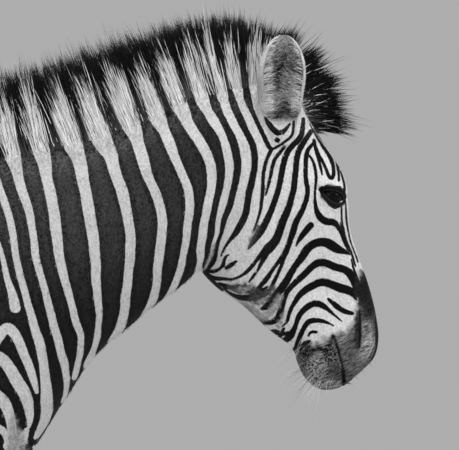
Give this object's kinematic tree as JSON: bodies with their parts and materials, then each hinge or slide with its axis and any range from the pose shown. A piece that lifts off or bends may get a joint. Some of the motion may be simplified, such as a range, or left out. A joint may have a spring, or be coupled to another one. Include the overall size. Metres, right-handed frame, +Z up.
{
  "type": "zebra",
  "caption": "Standing plains zebra, a still life-size model with head lowered, upright mane and hanging tail, resting on its hooves.",
  "frame": {"origin": "middle of the animal's own box, on the floor under the hooves", "axes": "+X towards the nose, +Y towards the animal's left, +Z up"},
  "size_m": [2.0338, 0.5246, 1.632],
  "materials": {
    "coat": "short flat hair in black and white stripes",
    "long_hair": "stiff upright hair, white at the root in the white stripes and black at the tip",
    "hoof_horn": "satin ringed horn",
    "eyeball": "wet dark eye"
  },
  "bodies": {
    "root": {"trunk": "coat", "neck": "coat", "head": "coat", "ear_right": "coat", "ear_left": "coat", "fore_leg_right": "coat", "fore_leg_left": "coat", "hind_leg_right": "coat", "hind_leg_left": "coat", "tail": "coat", "mane": "long_hair", "tail_tuft": "long_hair", "fore_hoof_right": "hoof_horn", "fore_hoof_left": "hoof_horn", "hind_hoof_right": "hoof_horn", "hind_hoof_left": "hoof_horn", "eye_right": "eyeball", "eye_left": "eyeball"}
  },
  "joints": []
}
